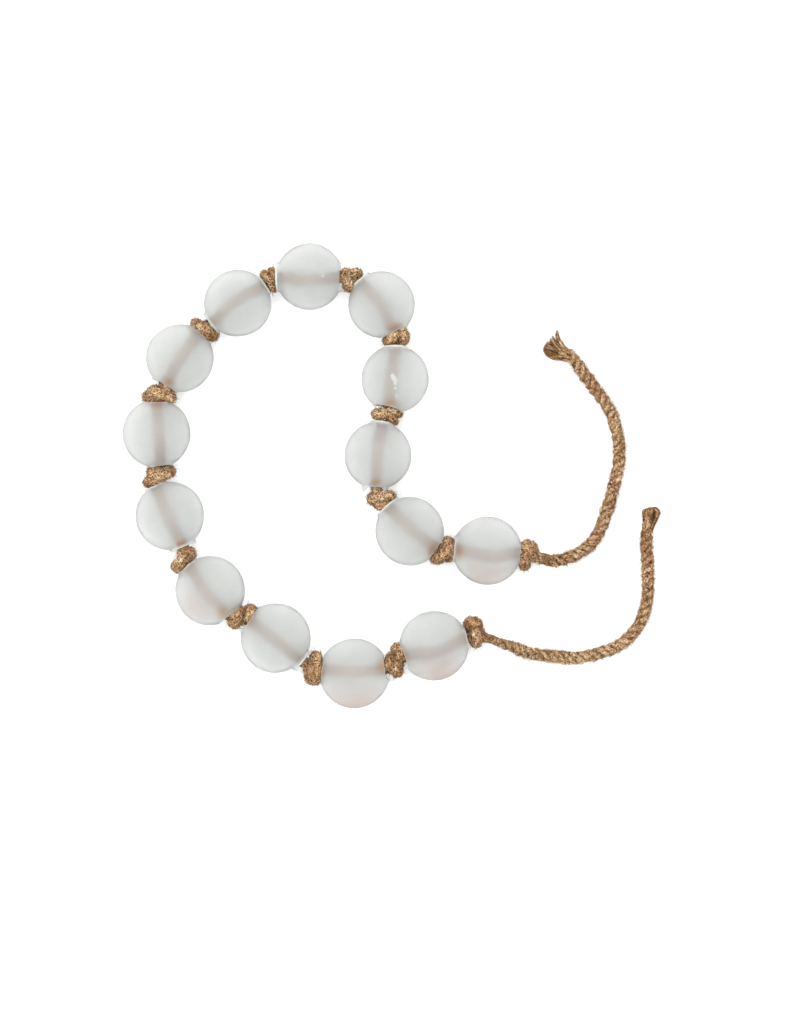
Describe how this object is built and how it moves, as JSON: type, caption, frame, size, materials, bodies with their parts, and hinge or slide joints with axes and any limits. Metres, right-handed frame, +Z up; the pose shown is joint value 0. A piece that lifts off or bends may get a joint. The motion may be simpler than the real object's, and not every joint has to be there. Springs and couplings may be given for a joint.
{
  "type": "bead garland",
  "caption": "Garland of hollow frosted glass beads on a tan jute cord, knotted beside every bead, lying in an open loop with a free tail of cord at each end.",
  "frame": {"origin": "on the surface the garland lies on, under the middle of the box of the beads and the knotted cord, the two free tails left out", "axes": "+Z up off the surface; +Y towards the far end of the loop, at the top of the picture; +X towards the side where the two free tails lie"},
  "size_m": [0.2376, 0.2054, 0.0302],
  "materials": {
    "frosted_glass": "acid-frosted recycled glass",
    "jute_cord": "three-strand laid jute"
  },
  "bodies": {
    "root": {"bead_01": "frosted_glass", "bead_02": "frosted_glass", "bead_03": "frosted_glass", "bead_04": "frosted_glass", "bead_05": "frosted_glass", "bead_06": "frosted_glass", "bead_07": "frosted_glass", "bead_08": "frosted_glass", "bead_09": "frosted_glass", "bead_10": "frosted_glass", "bead_11": "frosted_glass", "bead_12": "frosted_glass", "bead_13": "frosted_glass", "bead_14": "frosted_glass", "knotted_cord": "jute_cord", "cord_tail_a": "jute_cord", "cord_tail_b": "jute_cord"}
  },
  "joints": []
}
